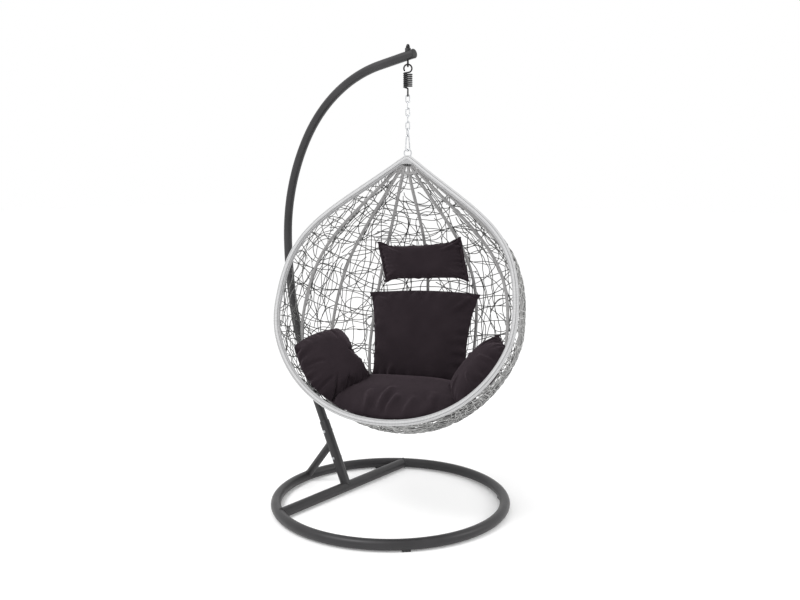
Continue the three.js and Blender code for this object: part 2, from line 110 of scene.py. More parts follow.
def lengths_along(points):
    return np.concatenate([[0], np.cumsum(np.linalg.norm(np.diff(points, axis=0), axis=1))])


def catmull(anchors, steps, closed=False):
    """A smooth line through the anchors, with that many steps in each span."""
    anchors = np.asarray(anchors, float)
    count = len(anchors)
    if closed:
        spans = [[anchors[(i + k) % count] for k in (-1, 0, 1, 2)] for i in range(count)]
    else:
        ends = [2 * anchors[0] - anchors[1], *anchors, 2 * anchors[-1] - anchors[-2]]
        spans = [ends[i:i + 4] for i in range(count - 1)]
    line = []
    for p0, p1, p2, p3 in spans:
        knots = np.cumsum([0] + [np.linalg.norm(b - a) ** 0.5 for a, b in ((p0, p1), (p1, p2), (p2, p3))])
        t0, t1, t2, t3 = knots
        for t in np.linspace(t1, t2, steps, endpoint=False):
            a1 = (t1 - t) / (t1 - t0) * p0 + (t - t0) / (t1 - t0) * p1
            a2 = (t2 - t) / (t2 - t1) * p1 + (t - t1) / (t2 - t1) * p2
            a3 = (t3 - t) / (t3 - t2) * p2 + (t - t2) / (t3 - t2) * p3
            b1 = (t2 - t) / (t2 - t0) * a1 + (t - t0) / (t2 - t0) * a2
            b2 = (t3 - t) / (t3 - t1) * a2 + (t - t1) / (t3 - t1) * a3
            line.append((t2 - t) / (t2 - t1) * b1 + (t - t1) / (t2 - t1) * b2)
    if not closed:
        line.append(anchors[-1])
    return np.array(line)


def even(points, step, closed=False):
    """The same line with points about that far apart."""
    points = np.asarray(points, float)
    if closed:
        points = np.vstack([points, points[:1]])
    lengths = lengths_along(points)
    count = max(2, int(round(lengths[-1] / step)) + 1)
    at = np.linspace(0, lengths[-1], count)
    if closed:
        at = at[:-1]
    return np.stack([np.interp(at, lengths, points[:, k]) for k in range(3)], axis=1)


def frames_along(points, closed):
    """Two directions square to the line at each point, with as little twist as possible."""
    if closed:
        ahead = np.roll(points, -1, 0) - np.roll(points, 1, 0)
    else:
        ahead = np.gradient(points, axis=0)
    tangent = ahead / np.linalg.norm(ahead, axis=1)[:, None]
    helper = (0, 0, 1) if abs(tangent[0][2]) < 0.9 else (1, 0, 0)
    side = [unit(np.cross(tangent[0], helper))]
    for way in tangent[1:]:
        side.append(unit(side[-1] - way * np.dot(side[-1], way)))
    side = np.array(side)
    up = np.cross(tangent, side)
    if closed:
        last = unit(side[-1] - tangent[0] * np.dot(side[-1], tangent[0]))
        twist = math.atan2(np.dot(last, up[0]), np.dot(last, side[0]))
        back = -twist * np.arange(len(points))[:, None] / len(points)
        side, up = side * np.cos(back) + up * np.sin(back), up * np.cos(back) - side * np.sin(back)
    return tangent, side, up


class Shape:
    """Vertices, faces and UVs of one piece. A tube's UV is once round it and metres along it."""

    def __init__(self):
        self.points, self.faces, self.uvs, self.tones = [], [], [], []

    def grid(self, rings, lengths, closed, caps=True):
        """Joins rings of points into a tube. rings is (count, sides, 3)."""
        count, sides = rings.shape[:2]
        base = len(self.points)
        self.points.extend(rings.reshape(-1, 3).tolist())
        for i in range(count if closed else count - 1):
            ahead = (i + 1) % count
            for j in range(sides):
                k = (j + 1) % sides
                here, there = base + i * sides, base + ahead * sides
                self.faces.append((here + j, here + k, there + k, there + j))
                u, w, v0, v1 = j / sides, (j + 1) / sides, lengths[i], lengths[i + 1]
                self.uvs.extend([(u, v0), (w, v0), (w, v1), (u, v1)])
        if caps and not closed:
            self.faces.append(tuple(base + j for j in reversed(range(sides))))
            self.faces.append(tuple(base + (count - 1) * sides + j for j in range(sides)))
            self.uvs.extend([(0, 0)] * (2 * sides))
        return self

    def sweep(self, points, radius, sides=16, closed=False, section=None, dome=0.0, tone=None):
        """A tube along points. radius may be a list, section(angle, index) scales it, dome rounds ends."""
        points = np.asarray(points, float)
        tangent, side, up = frames_along(points, closed)
        radii = np.broadcast_to(np.asarray(radius, float), (len(points),)).copy()
        if dome:
            points, tangent, side, up, radii = domed(points, tangent, side, up, radii, dome)
        angles = 2 * np.pi * np.arange(sides) / sides
        scale = np.ones((len(points), sides))
        if section:
            scale = section(angles[None, :], np.arange(len(points))[:, None])
        out = side[:, None] * np.cos(angles)[None, :, None] + up[:, None] * np.sin(angles)[None, :, None]
        rings = points[:, None] + out * (radii[:, None] * scale)[:, :, None]
        steps = np.linalg.norm(np.diff(points, axis=0, append=points[:1]), axis=1)
        lengths = np.concatenate([[0], np.cumsum(steps)])
        if tone is not None:
            self.tones.extend(tone(out).reshape(-1).tolist())
        return self.grid(rings, lengths, closed)

    def lathe(self, profile, at, way, sides=48, hexagon=()):
        """A turned form. profile is (radius, height) pairs; the steps named in hexagon get six flats."""
        way = unit(way)
        side = unit(np.cross(way, (0.31, 0.17, 0.93)))
        up = np.cross(way, side)
        angles = 2 * np.pi * np.arange(sides) / sides
        flats = math.cos(math.pi / 6) / np.cos((angles % (math.pi / 3)) - math.pi / 6)
        rings = []
        for i, (radius, height) in enumerate(profile):
            reach = max(radius, 1e-5) * (flats if i in hexagon else np.ones(sides))
            ring = np.asarray(at) + way * height + side * (np.cos(angles) * reach)[:, None]
            rings.append(ring + up * (np.sin(angles) * reach)[:, None])
        return self.grid(np.array(rings), [height for _, height in profile] + [0], False)


def domed(points, tangent, side, up, radii, dome):
    """Adds smaller rings past both ends, so that the tube ends in a dome."""
    steps = np.array([0.35, 0.65, 0.87, 0.98])
    for end, order in ((0, -1), (-1, 1)):
        shrink = np.sqrt(1 - steps ** 2)
        rings = points[end] + order * tangent[end] * (steps * radii[end] * dome)[:, None]
        more = radii[end] * shrink
        same = [np.repeat(vectors[end][None], 4, 0) for vectors in (tangent, side, up)]
        if end == 0:
            points, radii = np.vstack([rings[::-1], points]), np.concatenate([more[::-1], radii])
            tangent, side, up = (np.vstack([s, v]) for s, v in zip(same, (tangent, side, up)))
        else:
            points, radii = np.vstack([points, rings]), np.concatenate([radii, more])
            tangent, side, up = (np.vstack([v, s]) for s, v in zip(same, (tangent, side, up)))
    return points, tangent, side, up, radii


def make(name, shape, look):
    """A smooth mesh object from a Shape."""
    mesh = bpy.data.meshes.new(name)
    mesh.from_pydata(shape.points, [], shape.faces)
    layer = mesh.uv_layers.new(name="along")
    layer.data.foreach_set("uv", np.array(shape.uvs, np.float32).reshape(-1))
    if shape.tones:
        values = np.repeat(np.array(shape.tones, np.float32)[:, None], 4, 1)
        values[:, 3] = 1
        tone = mesh.color_attributes.new("tone", "FLOAT_COLOR", "POINT")
        tone.data.foreach_set("color", values.reshape(-1))
    mesh.materials.append(look)
    mesh.polygons.foreach_set("use_smooth", [True] * len(mesh.polygons))
    bm = bmesh.new()
    bm.from_mesh(mesh)
    bmesh.ops.recalc_face_normals(bm, faces=bm.faces)
    bm.to_mesh(mesh)
    bm.free()
    mesh.set_sharp_from_angle(angle=math.radians(38))
    piece = bpy.data.objects.new(name, mesh)
    bpy.context.scene.collection.objects.link(piece)
    return piece


def put(name, shape, look, slot, body, *nodes):
    """Makes a piece with this look that rides on a body and stands for these nodes; slot is not used."""
    piece = make(name, shape, look)
    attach(piece, body)
    if nodes:
        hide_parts(*nodes)
    return piece


# ---- materials ----

class Look:
    """A material and its nodes. A node's inputs are given by name, as values or as other nodes' outputs."""

    def __init__(self, name, **shader):
        self.material = bpy.data.materials.new(name)
        self.material.use_nodes = True
        self.nodes = self.material.node_tree.nodes
        self.shader = self.nodes["Principled BSDF"]
        self.set(self.shader, shader)

    def set(self, node, inputs):
        for name, value in inputs.items():
            socket = node.inputs[name if isinstance(name, int) else name.replace("_", " ")]
            if isinstance(value, bpy.types.NodeSocket):
                self.material.node_tree.links.new(value, socket)
            else:
                socket.default_value = value

    def node(self, kind, inputs, output=0, **settings):
        node = self.nodes.new("ShaderNode" + kind)
        for name, value in settings.items():
            setattr(node, name, value)
        self.set(node, inputs)
        return node.outputs[output]

    def math(self, operation, a, b=0.0):
        return self.node("Math", {0: a, 1: b}, operation=operation)

    def noise(self, scale, detail=3.0, vector=None, roughness=0.55):
        at = vector or self.node("TexCoord", {}, output="Object")
        return self.node("TexNoise", {"Vector": at, "Scale": scale, "Detail": detail, "Roughness": roughness})

    def ramp(self, value, *stops):
        """Colours along a value: stops are (position, grey or colour)."""
        node = self.nodes.new("ShaderNodeValToRGB")
        self.set(node, {"Fac": value})
        while len(node.color_ramp.elements) < len(stops):
            node.color_ramp.elements.new(0.5)
        for element, (position, colour) in zip(node.color_ramp.elements, stops):
            element.position = position
            element.color = (*colour, 1) if isinstance(colour, tuple) else (colour, colour, colour, 1)
        return node.outputs[0]

    def mix(self, share, a, b, blend="MIX"):
        return self.node("MixRGB", {"Fac": share, "Color1": a, "Color2": b}, blend_type=blend)

    def bump(self, height, strength, distance, normal=None):
        inputs = {"Height": height, "Strength": strength, "Distance": distance}
        if normal:
            inputs["Normal"] = normal
        return self.node("Bump", inputs)

    def finish(self, **shader):
        self.set(self.shader, shader)
        return self.material


def around(colour, spread):
    """A darker and a lighter version of a colour."""
    return tuple(c * (1 - spread) for c in colour), tuple(min(1, c * (1 + spread)) for c in colour)


def powder_coat():
    """Satin anthracite powder coat: a fine orange peel, slightly duller in patches."""
    look = Look("powder_coat", Metallic=0.0, Specular_IOR_Level=0.42)
    dark, light = around((0.0215, 0.0205, 0.0220), 0.20)
    patches = look.noise(9, 4)
    peel = look.noise(900, 2)
    grit = look.noise(2600, 1)
    normal = look.bump(peel, 0.35, 0.0004)
    return look.finish(
        Base_Color=look.ramp(patches, (0.3, dark), (0.7, light)),
        Roughness=look.ramp(patches, (0.3, 0.34), (0.7, 0.46)),
        Normal=look.bump(grit, 0.2, 0.0001, normal),
    )


def black_steel():
    """Black oiled steel, a little worn in patches."""
    look = Look("black_steel", Metallic=0.6)
    wear = look.noise(160, 5)
    return look.finish(
        Base_Color=look.ramp(wear, (0.45, (0.010, 0.010, 0.011)), (0.85, (0.055, 0.054, 0.055))),
        Roughness=look.ramp(wear, (0.3, 0.30), (0.8, 0.48)),
        Normal=look.bump(look.noise(700, 3), 0.3, 0.0002),
    )


def black_plastic():
    """Moulded black plastic with a fine spark-eroded grain."""
    look = Look("black_plastic")
    grain = look.noise(1500, 2)
    return look.finish(
        Base_Color=look.ramp(look.noise(40, 3), (0.3, (0.010, 0.010, 0.011)), (0.7, (0.019, 0.019, 0.020))),
        Roughness=look.ramp(grain, (0.3, 0.48), (0.7, 0.62)),
        Normal=look.bump(grain, 0.4, 0.0002),
    )


def zinc():
    """Bright zinc plate with faint blue-grey clouds and fine drawing marks."""
    look = Look("zinc", Metallic=1.0)
    clouds = look.noise(120, 4)
    return look.finish(
        Base_Color=look.ramp(clouds, (0.3, (0.46, 0.47, 0.49)), (0.7, (0.66, 0.67, 0.68))),
        Roughness=look.ramp(clouds, (0.3, 0.26), (0.7, 0.42)),
        Normal=look.bump(look.noise(1400, 2), 0.25, 0.0001),
    )


def wrapped(name, colour, pitch, grooves=0):
    """Flat strand wound round a tube: fine slanted turns with darker joins, over lengthwise grooves that get
    painted shade.
    """
    look = Look(name, Specular_IOR_Level=0.4)
    uv = look.node("UVMap", {}, uv_map="along")
    parts = look.nodes.new("ShaderNodeSeparateXYZ")
    look.set(parts, {"Vector": uv})
    turns = look.math("ADD", look.math("MULTIPLY", parts.outputs[1], 1 / pitch), parts.outputs[0])
    wobble = look.math("ADD", turns, look.math("MULTIPLY", look.noise(60, 2), 0.5))
    across = look.math("FRACT", wobble)
    crown = look.math("SINE", look.math("MULTIPLY", across, math.pi))
    strand = look.node("CombineXYZ", {"X": look.math("FLOOR", wobble), "Y": 0.0, "Z": 0.0})
    strand_tint = look.noise(35, 3, strand)
    dark, light = around(colour, 0.16)
    body = look.mix(look.noise(28, 4), (*dark, 1), (*light, 1))
    tinted = look.mix(0.35, body, look.ramp(strand_tint, (0.35, dark), (0.65, light)))
    join = look.ramp(crown, (0.0, tuple(c * 0.42 for c in colour)), (0.34, (1.0, 1.0, 1.0)))
    grain = look.noise(1100, 2)
    # Painted shade: with grooves, the colour is darkened along the lengthwise grooves, where shade falls
    # between the strands.
    if grooves:
        round_it = look.math("MULTIPLY", parts.outputs[0], math.pi * grooves)
        ridge = look.math("ABSOLUTE", look.math("SINE", round_it))
        tinted = look.mix(1.0, tinted, look.ramp(ridge, (0.05, 0.36), (0.38, 1.0)), "MULTIPLY")
    return look.finish(
        Base_Color=look.mix(0.85, tinted, join, "MULTIPLY"),
        Roughness=look.ramp(grain, (0.3, 0.42), (0.7, 0.58)),
        Normal=look.bump(grain, 0.25, 0.0002, look.bump(crown, 0.55, 0.0007)),
    )


def wicker():
    """Round plastic wicker: lengthwise grain, each strand a little different in shade, with painted shade
    that makes it dimmer towards the seat.
    """
    look = Look("wicker", Specular_IOR_Level=0.4)
    tone = look.node("Attribute", {}, output="Fac", attribute_name="tone")
    uv = look.node("UVMap", {}, uv_map="along")
    stretch = look.node("Mapping", {"Vector": uv, "Scale": (9.0, 26.0, 1.0)})
    fibre = look.noise(2.0, 4, stretch)
    # The tone attribute brings each strand's random shade and the painted shade on its side facing the seat.
    strand_shade_and_painted_shade = look.ramp(tone, (0.0, 0.0), (1.0, (1.0, 1.0, 0.985)))
    shade = look.mix(0.22, strand_shade_and_painted_shade, look.ramp(fibre, (0.3, 0.05), (0.7, 0.75)), "MULTIPLY")
    return look.finish(
        Base_Color=shade,
        Roughness=look.ramp(fibre, (0.3, 0.40), (0.7, 0.60)),
        Normal=look.bump(fibre, 0.35, 0.0004),
    )


THREAD_PITCH = 0.0011


def fabric():
    """Charcoal polyester: a plain weave of fine threads, with slubs and a soft bloom."""
    look = Look("fabric", Sheen_Weight=0.10, Sheen_Tint=(1.0, 0.78, 0.90, 1), Sheen_Roughness=0.5,
                Specular_IOR_Level=0.12)
    uv = look.node("UVMap", {}, uv_map="along")
    parts = look.nodes.new("ShaderNodeSeparateXYZ")
    look.set(parts, {"Vector": uv})
    threads = 2 * math.pi / THREAD_PITCH
    warp = look.math("SINE", look.math("MULTIPLY", parts.outputs[0], threads))
    weft = look.math("SINE", look.math("MULTIPLY", parts.outputs[1], threads))
    weave = look.math("MULTIPLY", warp, weft)
    slub = look.noise(420, 3, look.node("Mapping", {"Vector": uv, "Scale": (1.0, 6.0, 1.0)}))
    cloud = look.noise(11, 4)
    base = look.ramp(cloud, (0.3, (0.0140, 0.0092, 0.0120)), (0.7, (0.0210, 0.0145, 0.0182)))
    slubbed = look.mix(0.5, base, look.ramp(slub, (0.35, 0.55), (0.7, 1.0)), "MULTIPLY")
    return look.finish(
        Base_Color=look.mix(look.ramp(weave, (0.2, 0.0), (0.9, 0.35)), slubbed, (0.030, 0.0220, 0.0270, 1)),
        Roughness=look.ramp(slub, (0.3, 0.82), (0.7, 0.95)),
        Normal=look.bump(slub, 0.3, 0.0004, look.bump(weave, 0.5, 0.0003)),
    )


FRAME_LOOK = powder_coat()
STEEL_LOOK = black_steel()
PLASTIC_LOOK = black_plastic()
ZINC_LOOK = zinc()
# The rim's colour has painted shade in its lengthwise grooves.
RIM_LOOK = wrapped("rim_wrap", (0.50, 0.50, 0.505), 0.0060, RIM_GROOVES)
CORD_LOOK = wrapped("cord_wrap", (0.40, 0.40, 0.405), 0.0050)
RIB_LOOK = wrapped("rib_wrap", (0.34, 0.335, 0.335), 0.0055)
WICKER_LOOK = wicker()
FABRIC_LOOK = fabric()


# ---- stand ----

SOCKET_WAY = np.array([0, math.sin(SOCKET_LEAN), math.cos(SOCKET_LEAN)])
SOCKET_FOOT = np.array([0, CROSS_AT + SHIFT, RING_HEIGHT])
RING_MIDDLE = np.array([0, SHIFT, RING_HEIGHT])
CROSS_REACH = math.sqrt(RING_RADIUS ** 2 - CROSS_AT ** 2)
CROSS_END = SOCKET_FOOT + [CROSS_REACH, 0, 0]
BRACE_FOOT = RING_MIDDLE + [0, RING_RADIUS, 0]


def along_socket(distance):
    return SOCKET_FOOT + SOCKET_WAY * distance


BRACE_TOP = along_socket(BRACE_MEETS_SOCKET)


def upper_pole_line():
    """The bent pole's middle line, from the split up and over to its tip."""
    points = [along_socket(POLE_SPLIT)]
    heading = SOCKET_LEAN
    for radius, size in POLE_BENDS:
        length = radius * math.radians(size) if radius else size
        steps = max(4, int(length / 0.015))
        swing = math.radians(size) / steps if radius else 0.0
        for _ in range(steps):
            way = heading - swing / 2
            points.append(points[-1] + np.array([0, math.sin(way), math.cos(way)]) * length / steps)
            heading -= swing
    return np.array(points)


def off_ring(point):
    flat = math.hypot(point[0], point[1] - SHIFT) - RING_RADIUS
    return math.hypot(flat, point[2] - RING_HEIGHT) - STAND_TUBE


def off_line(start, way):
    return lambda point: np.linalg.norm(np.cross(point - start, way)) - STAND_TUBE


def weld(shape, start, end, radius, off):
    """A rippled bead where a tube, running from start to end, goes into whatever off measures from."""
    way = unit(end - start)
    side = unit(np.cross(way, (0.2, 0.3, 0.9)))
    up = np.cross(way, side)
    line = []
    for angle in np.linspace(0, 2 * math.pi, 72, endpoint=False):
        from_axis = (side * math.cos(angle) + up * math.sin(angle)) * radius
        near, far = 0.0, np.linalg.norm(end - start)
        for _ in range(30):
            middle = (near + far) / 2
            near, far = (middle, far) if off(start + from_axis + way * middle) > 0 else (near, middle)
        line.append(start + from_axis + way * near)
    ripple = lambda angle, index: 1 + 0.16 * np.sin(index * 2 * math.pi / 4) + 0 * angle
    shape.sweep(line, 0.0026, 8, closed=True, section=ripple)


def build_stand():
    turn = np.linspace(0, 2 * math.pi, 240, endpoint=False)
    ring = RING_MIDDLE + np.stack([np.cos(turn), np.sin(turn), 0 * turn], 1) * RING_RADIUS
    ring_tube = Shape().sweep(ring, STAND_TUBE, 32, closed=True)
    put("ring_tube", ring_tube, FRAME_LOOK, "frame", "stand", "base_ring")

    inside = CROSS_END - [0.012, 0, 0]
    cross = Shape().sweep(np.linspace(inside * [-1, 1, 1], inside, 60), STAND_TUBE, 32)
    for side in (-1, 1):
        weld(cross, SOCKET_FOOT, CROSS_END * [side, 1, 1], STAND_TUBE, off_ring)
    put("cross_bar", cross, FRAME_LOOK, "frame", "stand", "cross_tube")

    lip = SOCKET_LENGTH
    profile = [(STAND_TUBE, 0.005), (STAND_TUBE, lip - 0.0015), (STAND_TUBE - 0.0005, lip - 0.0004),
               (STAND_TUBE - 0.0014, lip), (POLE_TUBE + 0.0006, lip - 0.0003),
               (POLE_TUBE + 0.0003, lip - 0.003), (POLE_TUBE + 0.0003, 0.06)]
    socket = Shape().lathe(profile, SOCKET_FOOT, SOCKET_WAY)
    weld(socket, along_socket(0.10), SOCKET_FOOT, STAND_TUBE, off_line(SOCKET_FOOT, np.array([1.0, 0, 0])))
    put("socket_tube", socket, FRAME_LOOK, "frame", "stand", "socket")

    way = unit(BRACE_TOP - BRACE_FOOT)
    brace = Shape().sweep(np.linspace(BRACE_FOOT + way * 0.008, BRACE_TOP - way * 0.012, 40), BRACE_TUBE, 28)
    middle = (BRACE_FOOT + BRACE_TOP) / 2
    weld(brace, middle, BRACE_FOOT, BRACE_TUBE, off_ring)
    weld(brace, middle, BRACE_TOP, BRACE_TUBE, off_line(SOCKET_FOOT, SOCKET_WAY))
    put("brace_tube", brace, FRAME_LOOK, "frame", "stand", "brace")

    lower = np.linspace(along_socket(0.062), along_socket(POLE_SPLIT - 0.0003), 60)
    edge = np.full(60, POLE_TUBE)
    edge[-1] -= 0.0012
    put("pole_foot", Shape().sweep(lower, edge, 32), FRAME_LOOK, "frame", "stand", "lower_pole")
    upper = upper_pole_line()
    edge = np.full(len(upper), POLE_TUBE)
    edge[0] -= 0.0012
    put("pole_bend", Shape().sweep(upper, edge, 32), FRAME_LOOK, "frame", "stand", "upper_pole")

    tip, out = upper[-1], unit(upper[-1] - upper[-2])
    plug = [(0, 0.0002), (0.0192, 0.0002), (0.0196, 0.0010), (0.0196, 0.0030), (0.0186, 0.0050),
            (0.0150, 0.0072), (0.0080, 0.0086), (0, 0.0090)]
    put("pole_plug", Shape().lathe(plug, tip, out), PLASTIC_LOOK, "black_plastic", "stand", "end_plug")
    build_bolts()


def build_bolts():
    """Flanged hexagon bolts through the socket, each with its nut."""
    face = STAND_TUBE + 0.0002
    head = [(0.0, -0.0052), (0.0040, -0.0052), (0.0052, -0.0046), (0.0054, -0.0016), (0.0066, -0.0012),
            (0.0066, 0.0), (0.0040, 0.0), (0.0040, 2 * face + 0.0086),
            (0.0034, 2 * face + 0.0090), (0.0, 2 * face + 0.0090)]
    nut = [(0.0040, 0.0), (0.0070, 0.0), (0.0072, 0.0012), (0.0068, 0.0014), (0.0070, 0.0056),
           (0.0060, 0.0064), (0.0040, 0.0064)]
    for i, station in enumerate(BOLT_STATIONS, 1):
        at = along_socket(station)
        bolt = Shape().lathe(head, at - [face, 0, 0], (1, 0, 0), hexagon=(1, 2, 3))
        put(f"bolt_{i}", bolt, ZINC_LOOK, "zinc", "stand", f"socket_bolt_{i}")
        hexed = Shape().lathe(nut, at + [face, 0, 0], (1, 0, 0), hexagon=(3, 4, 5))
        put(f"nut_{i}", hexed, ZINC_LOOK, "zinc", "stand", f"socket_nut_{i}")


def polish(node, look, width):
    """Keeps a CAD node, with softened edges and a real material."""
    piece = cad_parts[node]
    piece.data.materials.clear()
    piece.data.materials.append(look)
    soften = piece.modifiers.new("soft_edges", "BEVEL")
    soften.width = width
    soften.segments = 3
    soften.limit_method = "ANGLE"
    soften.angle_limit = math.radians(40)


# ---- hanging line ----

def heading(turn):
    angle = HOOK_HEADING + math.radians(turn)
    return np.array([math.cos(angle), math.sin(angle), 0])


def on_line(side, way, z):
    return np.array([0, HANG_Y, z]) + way * side


def arc(middle_z, way, radius, start, end, steps):
    """Points round a circle that stands on the hanging line and is wide along way."""
    angles = np.radians(np.linspace(start, end, steps))
    return [on_line(radius * math.cos(a), way, middle_z + radius * math.sin(a)) for a in angles]


def build_eye_bolt():
    loop = arc(EYE_Z, heading(90), EYE_RADIUS, 0, 360, 49)[:-1]
    eye = Shape().sweep(loop, EYE_WIRE, 16, closed=True)
    foot = EYE_Z + EYE_RADIUS
    shank = np.linspace(on_line(0, heading(0), foot), on_line(0, heading(0), 1.9675), 140)
    thread = lambda angle, index: 0.96 + 0.04 * np.sin(index * 1.25 + angle)
    eye.sweep(shank, EYE_WIRE, 16, section=thread)
    put("eye", eye, STEEL_LOOK, "black_steel", "hanger", "eye_bolt")
    dome = [(0.0042, 0.0), (0.0078, 0.0), (0.0085, 0.0008), (0.0085, 0.0066), (0.0074, 0.0074),
            (0.0070, 0.0100), (0.0058, 0.0132), (0.0034, 0.0153), (0.0, 0.0160)]
    nut = Shape().lathe(dome, (0, HANG_Y, 1.9553), (0, 0, 1), hexagon=(1, 2, 3))
    put("dome_nut", nut, STEEL_LOOK, "black_steel", "hanger", "cap_nut")


def build_spring():
    """A close coil with a hook at each end, running from the joint above it to the one below."""
    top, low = COIL_TOP + SPRING_RADIUS, COIL_BOTTOM - SPRING_RADIUS
    points = arc(top, heading(0), SPRING_RADIUS, 215, -60, 17)
    steps = SPRING_TURNS * 12
    for i in range(4, steps - 3):
        way = heading(-360 * i / 12)
        points.append(on_line(SPRING_RADIUS, way, COIL_TOP - i * COIL_PITCH / 12))
    points += arc(low, heading(90), SPRING_RADIUS, 60, -215, 17)
    line = catmull(points, 3)
    piece = make("coil_spring", Shape().sweep(line, SPRING_WIRE, 14, dome=0.5), STEEL_LOOK)
    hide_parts("suspension_spring")
    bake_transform(piece)


def build_chain():
    """Welded links: each a closed loop with a small swelling where its wire was joined."""
    radius = LINK_WIDTH / 2 - LINK_WIRE
    straight = (LINK_LENGTH - LINK_WIDTH) / 2
    for i, turn in enumerate(LINK_TURNS):
        middle = LINK_TOP - i * LINK_STEP
        way = heading(turn)
        ends = arc(middle + straight, way, radius, 0, 180, 15)
        ends += arc(middle - straight, way, radius, 180, 360, 15)
        line = even(catmull(ends, 3, closed=True), 0.0014, closed=True)
        from_weld = np.linalg.norm(line - on_line(radius, way, middle), axis=1)
        wire = LINK_WIRE * (1 + 0.10 * np.exp(-(from_weld / 0.002) ** 2))
        body = "top_link" if i == 0 else "chain"
        link = Shape().sweep(line, wire, 14, closed=True)
        put(f"link_{i + 1}", link, ZINC_LOOK, "zinc", body, f"chain_link_{i + 1}")


def build_snap_hook():
    """A pear-shaped snap hook: an open body, and a sprung gate with its pin."""
    way = heading(SNAP_TURN)
    foot = SNAP_TOP - SNAP_LENGTH
    top_z = SNAP_TOP - SNAP_WIRE - SNAP_SMALL
    low_z = foot + SNAP_WIRE + SNAP_LARGE
    gate_top, gate_low = top_z - 0.006, low_z - 0.002
    side = lambda z: SNAP_SMALL + (SNAP_LARGE - SNAP_SMALL) * (top_z - z) / (top_z - low_z)
    body = [on_line(side(gate_top + 0.001), way, gate_top + 0.001)]
    body += arc(top_z, way, SNAP_SMALL, 0, 180, 13) + arc(low_z, way, SNAP_LARGE, 180, 350, 21)
    hook = Shape().sweep(even(catmull(body, 4), 0.0012), SNAP_WIRE, 14, dome=0.8)
    put("hook_body", hook, ZINC_LOOK, "zinc", "chain", "snap_hook")

    ends = [on_line(side(z), way, z) for z in (gate_top - 0.0012, gate_low + 0.0012)]
    gate = Shape().sweep(np.linspace(*ends, 24), SNAP_WIRE - 0.0003, 14, dome=0.6)
    across = np.cross(way, (0, 0, 1))
    pin = on_line(side(gate_low + 0.004), way, gate_low + 0.004)
    gate.sweep(np.linspace(pin - across * 0.0036, pin + across * 0.0036, 4), 0.0012, 12, dome=0.6)
    put("hook_gate", gate, ZINC_LOOK, "zinc", "gate", "snap_gate")


def build_hang_ring():
    turn = np.linspace(0, 2 * math.pi, 64, endpoint=False)
    ring = [(RING_LOOP * math.cos(a), 0, RING_Z + RING_LOOP * math.sin(a)) for a in turn]
    loop = Shape().sweep(row(np.array(ring)), RING_WIRE, 16, closed=True)
    put("hang_ring", loop, ZINC_LOOK, "zinc", "basket", "hanger_ring")


# ---- basket ----
# Its own frame: Y is the way the seat faces, Z up, X across. row() turns it into the chair's frame.

CHORD_WAY = np.array([0, math.sin(MOUTH_LEAN), -math.cos(MOUTH_LEAN)])
BACK_WAY = np.array([0, -math.cos(MOUTH_LEAN), -math.sin(MOUTH_LEAN)])


def row(points):
    points = np.asarray(points, float)
    x, y, z = points[..., 0], points[..., 1], points[..., 2]
    c, s = math.cos(SEAT_TURN), math.sin(SEAT_TURN)
    return np.stack([x * c - y * s, x * s + y * c + HANG_Y, z], -1)


def bezier(a, b, c, d):
    t = np.linspace(0, 1, 300)[:, None]
    return (1 - t) ** 3 * a + 3 * (1 - t) ** 2 * t * b + 3 * (1 - t) * t ** 2 * c + t ** 3 * d


def outline(shape):
    """Half an outline, as reach from the chord and distance down it, for each sample from apex to foot."""
    top, foot = math.radians(shape["top"]), math.radians(shape["foot"])
    half, widest = shape["half"], shape["widest"]
    reach = shape["top_reach"]
    upper = bezier(*map(np.array, ((0.0, 0.0), (reach * math.sin(top), reach * math.cos(top)),
                                   (half, widest - shape["upper"]), (half, widest))))
    reach = shape["foot_reach"]
    lower = bezier(*map(np.array, ((half, widest), (half, widest + shape["lower"]),
                                   (reach * math.sin(foot), CHORD + reach * math.cos(foot)), (0.0, CHORD))))
    points = np.vstack([upper, lower[1:]])
    lengths = lengths_along(points)
    samples = lengths / lengths[-1] * SAMPLES
    return lambda sample: (np.interp(sample, samples, points[:, 0]), np.interp(sample, samples, points[:, 1]))


rim_outline = outline(RIM_SHAPE)
back_outline = outline(BACK_SHAPE)


def basket_point(across, back, down):
    across, back, down = np.broadcast_arrays(across, back, down)
    point = np.stack([across, 0 * across, 0 * across + APEX_Z], -1)
    return point + BACK_WAY * back[..., None] + CHORD_WAY * down[..., None]


def shell_point(sample, angle):
    """A point of the woven shell. angle goes from one side of the mouth, over the back, to the other."""
    rim_x, rim_y = rim_outline(sample)
    back_x, back_y = back_outline(sample)
    power = 2 / SQUARENESS
    cos, sin = np.cos(angle), np.clip(np.sin(angle), 0, None)
    across = rim_x * np.sign(cos) * np.abs(cos) ** power * (1 + SWELL * np.abs(np.sin(2 * angle)))
    down = rim_y * cos ** 2 + back_y * sin ** 2
    return basket_point(across, back_x * sin ** power, down)


def shell_normal(sample, angle):
    sample, angle = np.broadcast_arrays(np.asarray(sample, float), np.asarray(angle, float))
    lower, higher = np.minimum(sample + 0.5, SAMPLES), np.maximum(sample - 0.5, 0)
    down = shell_point(lower, angle) - shell_point(higher, angle)
    further, nearer = np.minimum(angle + 0.02, math.pi), np.maximum(angle - 0.02, 0)
    round_way = shell_point(sample, further) - shell_point(sample, nearer)
    normal = np.cross(round_way, down)
    return normal / np.maximum(np.linalg.norm(normal, axis=-1, keepdims=True), 1e-12)


def off_shell(sample, angle, distance):
    return shell_point(sample, angle) + shell_normal(sample, angle) * np.asarray(distance)[..., None]


def rim_line():
    reach, down = rim_outline(np.concatenate([[0.5, 1.0, 1.5], np.arange(2, SAMPLES)]))
    anchors = [basket_point(0.0, 0.0, RIM_APEX_DROP), *basket_point(reach, 0.0, down)]
    anchors += [basket_point(0.0, 0.0, CHORD), *basket_point(-reach[::-1], 0.0, down[::-1])]
    return even(catmull(anchors, 12, closed=True), RIM_STEP, closed=True)


